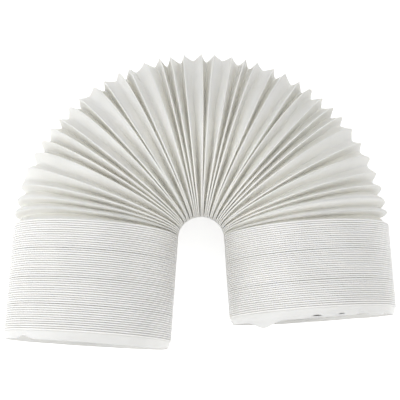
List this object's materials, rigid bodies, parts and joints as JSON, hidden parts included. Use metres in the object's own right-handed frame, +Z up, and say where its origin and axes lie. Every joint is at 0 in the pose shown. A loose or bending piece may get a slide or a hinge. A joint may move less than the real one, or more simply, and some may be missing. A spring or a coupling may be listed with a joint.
{
  "type": "flexible air duct",
  "caption": "Pleated flexible air duct with a spring steel wire in the hem of each pleat, lying on its side and bent into an arch with two closed-up legs.",
  "frame": {"origin": "under the middle of the whole duct, on the surface that it lies on", "axes": "+Z up out of the plane of the arch, +X across the two legs from left to right, +Y from the open ends of the legs towards the bend"},
  "size_m": [0.3586, 0.2763, 0.1526],
  "materials": {
    "film": "warm white soft PVC film, slightly glossy and finely creased",
    "film_edge": "plain warm white soft PVC film",
    "wired_hem": "warm white PVC hem welded round spring steel wire",
    "wire": "bright drawn spring steel wire"
  },
  "bodies": {
    "turn_01": {"turn_01": "wired_hem"},
    "turn_02": {"turn_02": "wired_hem"},
    "turn_03": {"turn_03": "wired_hem"},
    "turn_04": {"turn_04": "wired_hem"},
    "turn_05": {"turn_05": "wired_hem", "bend_film_1": "film"},
    "turn_06": {"turn_06": "wired_hem"},
    "turn_07": {"turn_07": "wired_hem"},
    "turn_08": {"turn_08": "wired_hem"},
    "turn_09": {"turn_09": "wired_hem"},
    "turn_10": {"turn_10": "wired_hem"},
    "turn_11": {"turn_11": "wired_hem"},
    "turn_12": {"turn_12": "wired_hem"},
    "turn_13": {"turn_13": "wired_hem"},
    "turn_14": {"turn_14": "wired_hem", "bend_film_2": "film"},
    "turn_15": {"turn_15": "wired_hem"},
    "turn_16": {"turn_16": "wired_hem"},
    "turn_17": {"turn_17": "wired_hem"},
    "turn_18": {"turn_18": "wired_hem"},
    "turn_19": {"turn_19": "wired_hem"},
    "turn_20": {"turn_20": "wired_hem"},
    "turn_21": {"turn_21": "wired_hem"},
    "turn_22": {"turn_22": "wired_hem"},
    "turn_23": {"turn_23": "wired_hem"},
    "turn_24": {"turn_24": "wired_hem", "bend_film_3": "film"},
    "turn_25": {"turn_25": "wired_hem"},
    "turn_26": {"turn_26": "wired_hem"},
    "turn_27": {"turn_27": "wired_hem"},
    "turn_28": {"turn_28": "wired_hem"},
    "turn_29": {"turn_29": "wired_hem"},
    "turn_30": {"turn_30": "wired_hem"},
    "turn_31": {"turn_31": "wired_hem"},
    "turn_32": {"turn_32": "wired_hem"},
    "turn_33": {"turn_33": "wired_hem", "bend_film_4": "film"},
    "turn_34": {"turn_34": "wired_hem"},
    "turn_35": {"turn_35": "wired_hem"},
    "turn_36": {"turn_36": "wired_hem"},
    "turn_37": {"turn_37": "wired_hem"},
    "left_pack_1": {"left_film_1": "film", "left_wire_1": "wire", "left_folds": "film"},
    "left_pack_2": {"left_film_2": "film", "left_wire_2": "wire"},
    "left_pack_3": {"left_film_3": "film", "left_wire_3": "wire"},
    "left_pack_4": {"left_film_4": "film", "left_wire_4": "wire", "left_cuff": "film_edge"},
    "right_pack_1": {"right_film_1": "film", "right_wire_1": "wire", "right_folds": "film"},
    "right_pack_2": {"right_film_2": "film", "right_wire_2": "wire"},
    "right_pack_3": {"right_film_3": "film", "right_wire_3": "wire", "right_cuff": "film_edge"}
  },
  "joints": [
    {"name": "left_bend", "type": "hinge", "parent": "turn_19", "child": "turn_18", "pos_m": [-0.00018, -0.01418, 0.07605], "axis": [0, 0, -1], "range_deg": [-0.45, 4.5]},
    {"name": "turn_17_hinge", "type": "hinge", "parent": "turn_18", "child": "turn_17", "pos_m": [-0.0019, -0.01432, 0.07605], "axis": [0, 0, -1], "range_deg": [-0.45, 4.5]},
    {"name": "turn_16_hinge", "type": "hinge", "parent": "turn_17", "child": "turn_16", "pos_m": [-0.00361, -0.01459, 0.07605], "axis": [0, 0, -1], "range_deg": [-0.45, 4.5]},
    {"name": "turn_15_hinge", "type": "hinge", "parent": "turn_16", "child": "turn_15", "pos_m": [-0.00529, -0.015, 0.07605], "axis": [0, 0, -1], "range_deg": [-0.45, 4.5]},
    {"name": "turn_14_hinge", "type": "hinge", "parent": "turn_15", "child": "turn_14", "pos_m": [-0.00693, -0.01554, 0.07605], "axis": [0, 0, -1], "range_deg": [-0.45, 4.5], "deforming": ["bend_film_2"]},
    {"name": "turn_13_hinge", "type": "hinge", "parent": "turn_14", "child": "turn_13", "pos_m": [-0.00852, -0.01621, 0.07605], "axis": [0, 0, -1], "range_deg": [-0.45, 4.5]},
    {"name": "turn_12_hinge", "type": "hinge", "parent": "turn_13", "child": "turn_12", "pos_m": [-0.01006, -0.017, 0.07605], "axis": [0, 0, -1], "range_deg": [-0.45, 4.5]},
    {"name": "turn_11_hinge", "type": "hinge", "parent": "turn_12", "child": "turn_11", "pos_m": [-0.01153, -0.01791, 0.07605], "axis": [0, 0, -1], "range_deg": [-0.45, 4.5]},
    {"name": "turn_10_hinge", "type": "hinge", "parent": "turn_11", "child": "turn_10", "pos_m": [-0.01292, -0.01893, 0.07605], "axis": [0, 0, -1], "range_deg": [-0.45, 4.5]},
    {"name": "turn_09_hinge", "type": "hinge", "parent": "turn_10", "child": "turn_09", "pos_m": [-0.01422, -0.02006, 0.07605], "axis": [0, 0, -1], "range_deg": [-0.45, 4.5]},
    {"name": "turn_08_hinge", "type": "hinge", "parent": "turn_09", "child": "turn_08", "pos_m": [-0.01544, -0.02129, 0.07605], "axis": [0, 0, -1], "range_deg": [-0.45, 4.5]},
    {"name": "turn_07_hinge", "type": "hinge", "parent": "turn_08", "child": "turn_07", "pos_m": [-0.01655, -0.02262, 0.07605], "axis": [0, 0, -1], "range_deg": [-0.45, 4.5]},
    {"name": "turn_06_hinge", "type": "hinge", "parent": "turn_07", "child": "turn_06", "pos_m": [-0.01755, -0.02402, 0.07605], "axis": [0, 0, -1], "range_deg": [-0.45, 4.5]},
    {"name": "turn_05_hinge", "type": "hinge", "parent": "turn_06", "child": "turn_05", "pos_m": [-0.01844, -0.0255, 0.07605], "axis": [0, 0, -1], "range_deg": [-0.45, 4.5], "deforming": ["bend_film_1"]},
    {"name": "turn_04_hinge", "type": "hinge", "parent": "turn_05", "child": "turn_04", "pos_m": [-0.01921, -0.02705, 0.07605], "axis": [0, 0, -1], "range_deg": [-0.45, 4.5]},
    {"name": "turn_03_hinge", "type": "hinge", "parent": "turn_04", "child": "turn_03", "pos_m": [-0.01985, -0.02866, 0.07605], "axis": [0, 0, -1], "range_deg": [-0.45, 4.5]},
    {"name": "turn_02_hinge", "type": "hinge", "parent": "turn_03", "child": "turn_02", "pos_m": [-0.02037, -0.0303, 0.07605], "axis": [0, 0, -1], "range_deg": [-0.45, 4.5]},
    {"name": "turn_01_hinge", "type": "hinge", "parent": "turn_02", "child": "turn_01", "pos_m": [-0.02075, -0.03199, 0.07605], "axis": [0, 0, -1], "range_deg": [-0.45, 4.5]},
    {"name": "left_leg_hinge", "type": "hinge", "parent": "turn_01", "child": "left_pack_1", "pos_m": [-0.021, -0.0337, 0.07605], "axis": [0, 0, -1], "range_deg": [-0.45, 4.5]},
    {"name": "left_stretch", "type": "slide", "parent": "left_pack_1", "child": "left_pack_2", "axis": [-0.0645, -0.9979, 0], "range_m": [0, 0.0125], "deforming": ["left_folds"]},
    {"name": "left_stretch_2", "type": "slide", "parent": "left_pack_2", "child": "left_pack_3", "axis": [-0.0645, -0.9979, 0], "range_m": [0, 0.0125]},
    {"name": "left_stretch_3", "type": "slide", "parent": "left_pack_3", "child": "left_pack_4", "axis": [-0.0645, -0.9979, 0], "range_m": [0, 0.0125]},
    {"name": "right_bend", "type": "hinge", "parent": "turn_19", "child": "turn_20", "pos_m": [0.00155, -0.01418, 0.07605], "axis": [0, 0, 1], "range_deg": [-0.45, 4.5]},
    {"name": "turn_21_hinge", "type": "hinge", "parent": "turn_20", "child": "turn_21", "pos_m": [0.00327, -0.01432, 0.07605], "axis": [0, 0, 1], "range_deg": [-0.45, 4.5]},
    {"name": "turn_22_hinge", "type": "hinge", "parent": "turn_21", "child": "turn_22", "pos_m": [0.00498, -0.01459, 0.07605], "axis": [0, 0, 1], "range_deg": [-0.45, 4.5]},
    {"name": "turn_23_hinge", "type": "hinge", "parent": "turn_22", "child": "turn_23", "pos_m": [0.00666, -0.015, 0.07605], "axis": [0, 0, 1], "range_deg": [-0.45, 4.5]},
    {"name": "turn_24_hinge", "type": "hinge", "parent": "turn_23", "child": "turn_24", "pos_m": [0.0083, -0.01554, 0.07605], "axis": [0, 0, 1], "range_deg": [-0.45, 4.5], "deforming": ["bend_film_3"]},
    {"name": "turn_25_hinge", "type": "hinge", "parent": "turn_24", "child": "turn_25", "pos_m": [0.00989, -0.01621, 0.07605], "axis": [0, 0, 1], "range_deg": [-0.45, 4.5]},
    {"name": "turn_26_hinge", "type": "hinge", "parent": "turn_25", "child": "turn_26", "pos_m": [0.01143, -0.017, 0.07605], "axis": [0, 0, 1], "range_deg": [-0.45, 4.5]},
    {"name": "turn_27_hinge", "type": "hinge", "parent": "turn_26", "child": "turn_27", "pos_m": [0.0129, -0.01791, 0.07605], "axis": [0, 0, 1], "range_deg": [-0.45, 4.5]},
    {"name": "turn_28_hinge", "type": "hinge", "parent": "turn_27", "child": "turn_28", "pos_m": [0.01429, -0.01893, 0.07605], "axis": [0, 0, 1], "range_deg": [-0.45, 4.5]},
    {"name": "turn_29_hinge", "type": "hinge", "parent": "turn_28", "child": "turn_29", "pos_m": [0.01559, -0.02006, 0.07605], "axis": [0, 0, 1], "range_deg": [-0.45, 4.5]},
    {"name": "turn_30_hinge", "type": "hinge", "parent": "turn_29", "child": "turn_30", "pos_m": [0.01681, -0.02129, 0.07605], "axis": [0, 0, 1], "range_deg": [-0.45, 4.5]},
    {"name": "turn_31_hinge", "type": "hinge", "parent": "turn_30", "child": "turn_31", "pos_m": [0.01792, -0.02262, 0.07605], "axis": [0, 0, 1], "range_deg": [-0.45, 4.5]},
    {"name": "turn_32_hinge", "type": "hinge", "parent": "turn_31", "child": "turn_32", "pos_m": [0.01892, -0.02402, 0.07605], "axis": [0, 0, 1], "range_deg": [-0.45, 4.5]},
    {"name": "turn_33_hinge", "type": "hinge", "parent": "turn_32", "child": "turn_33", "pos_m": [0.01981, -0.0255, 0.07605], "axis": [0, 0, 1], "range_deg": [-0.45, 4.5], "deforming": ["bend_film_4"]},
    {"name": "turn_34_hinge", "type": "hinge", "parent": "turn_33", "child": "turn_34", "pos_m": [0.02058, -0.02705, 0.07605], "axis": [0, 0, 1], "range_deg": [-0.45, 4.5]},
    {"name": "turn_35_hinge", "type": "hinge", "parent": "turn_34", "child": "turn_35", "pos_m": [0.02122, -0.02866, 0.07605], "axis": [0, 0, 1], "range_deg": [-0.45, 4.5]},
    {"name": "turn_36_hinge", "type": "hinge", "parent": "turn_35", "child": "turn_36", "pos_m": [0.02174, -0.0303, 0.07605], "axis": [0, 0, 1], "range_deg": [-0.45, 4.5]},
    {"name": "turn_37_hinge", "type": "hinge", "parent": "turn_36", "child": "turn_37", "pos_m": [0.02212, -0.03199, 0.07605], "axis": [0, 0, 1], "range_deg": [-0.45, 4.5]},
    {"name": "right_leg_hinge", "type": "hinge", "parent": "turn_37", "child": "right_pack_1", "pos_m": [0.02237, -0.0337, 0.07605], "axis": [0, 0, 1], "range_deg": [-0.45, 4.5]},
    {"name": "right_stretch", "type": "slide", "parent": "right_pack_1", "child": "right_pack_2", "axis": [0.0645, -0.9979, 0], "range_m": [0, 0.0125], "deforming": ["right_folds"]},
    {"name": "right_stretch_2", "type": "slide", "parent": "right_pack_2", "child": "right_pack_3", "axis": [0.0645, -0.9979, 0], "range_m": [0, 0.0125]}
  ],
  "couplings": [
    {"joint": "turn_17_hinge", "follows": "left_bend", "ratio": 1},
    {"joint": "turn_16_hinge", "follows": "left_bend", "ratio": 1},
    {"joint": "turn_15_hinge", "follows": "left_bend", "ratio": 1},
    {"joint": "turn_14_hinge", "follows": "left_bend", "ratio": 1},
    {"joint": "turn_13_hinge", "follows": "left_bend", "ratio": 1},
    {"joint": "turn_12_hinge", "follows": "left_bend", "ratio": 1},
    {"joint": "turn_11_hinge", "follows": "left_bend", "ratio": 1},
    {"joint": "turn_10_hinge", "follows": "left_bend", "ratio": 1},
    {"joint": "turn_09_hinge", "follows": "left_bend", "ratio": 1},
    {"joint": "turn_08_hinge", "follows": "left_bend", "ratio": 1},
    {"joint": "turn_07_hinge", "follows": "left_bend", "ratio": 1},
    {"joint": "turn_06_hinge", "follows": "left_bend", "ratio": 1},
    {"joint": "turn_05_hinge", "follows": "left_bend", "ratio": 1},
    {"joint": "turn_04_hinge", "follows": "left_bend", "ratio": 1},
    {"joint": "turn_03_hinge", "follows": "left_bend", "ratio": 1},
    {"joint": "turn_02_hinge", "follows": "left_bend", "ratio": 1},
    {"joint": "turn_01_hinge", "follows": "left_bend", "ratio": 1},
    {"joint": "left_leg_hinge", "follows": "left_bend", "ratio": 1},
    {"joint": "left_stretch_2", "follows": "left_stretch", "ratio": 1},
    {"joint": "left_stretch_3", "follows": "left_stretch", "ratio": 1},
    {"joint": "turn_21_hinge", "follows": "right_bend", "ratio": 1},
    {"joint": "turn_22_hinge", "follows": "right_bend", "ratio": 1},
    {"joint": "turn_23_hinge", "follows": "right_bend", "ratio": 1},
    {"joint": "turn_24_hinge", "follows": "right_bend", "ratio": 1},
    {"joint": "turn_25_hinge", "follows": "right_bend", "ratio": 1},
    {"joint": "turn_26_hinge", "follows": "right_bend", "ratio": 1},
    {"joint": "turn_27_hinge", "follows": "right_bend", "ratio": 1},
    {"joint": "turn_28_hinge", "follows": "right_bend", "ratio": 1},
    {"joint": "turn_29_hinge", "follows": "right_bend", "ratio": 1},
    {"joint": "turn_30_hinge", "follows": "right_bend", "ratio": 1},
    {"joint": "turn_31_hinge", "follows": "right_bend", "ratio": 1},
    {"joint": "turn_32_hinge", "follows": "right_bend", "ratio": 1},
    {"joint": "turn_33_hinge", "follows": "right_bend", "ratio": 1},
    {"joint": "turn_34_hinge", "follows": "right_bend", "ratio": 1},
    {"joint": "turn_35_hinge", "follows": "right_bend", "ratio": 1},
    {"joint": "turn_36_hinge", "follows": "right_bend", "ratio": 1},
    {"joint": "turn_37_hinge", "follows": "right_bend", "ratio": 1},
    {"joint": "right_leg_hinge", "follows": "right_bend", "ratio": 1},
    {"joint": "right_stretch_2", "follows": "right_stretch", "ratio": 1}
  ]
}
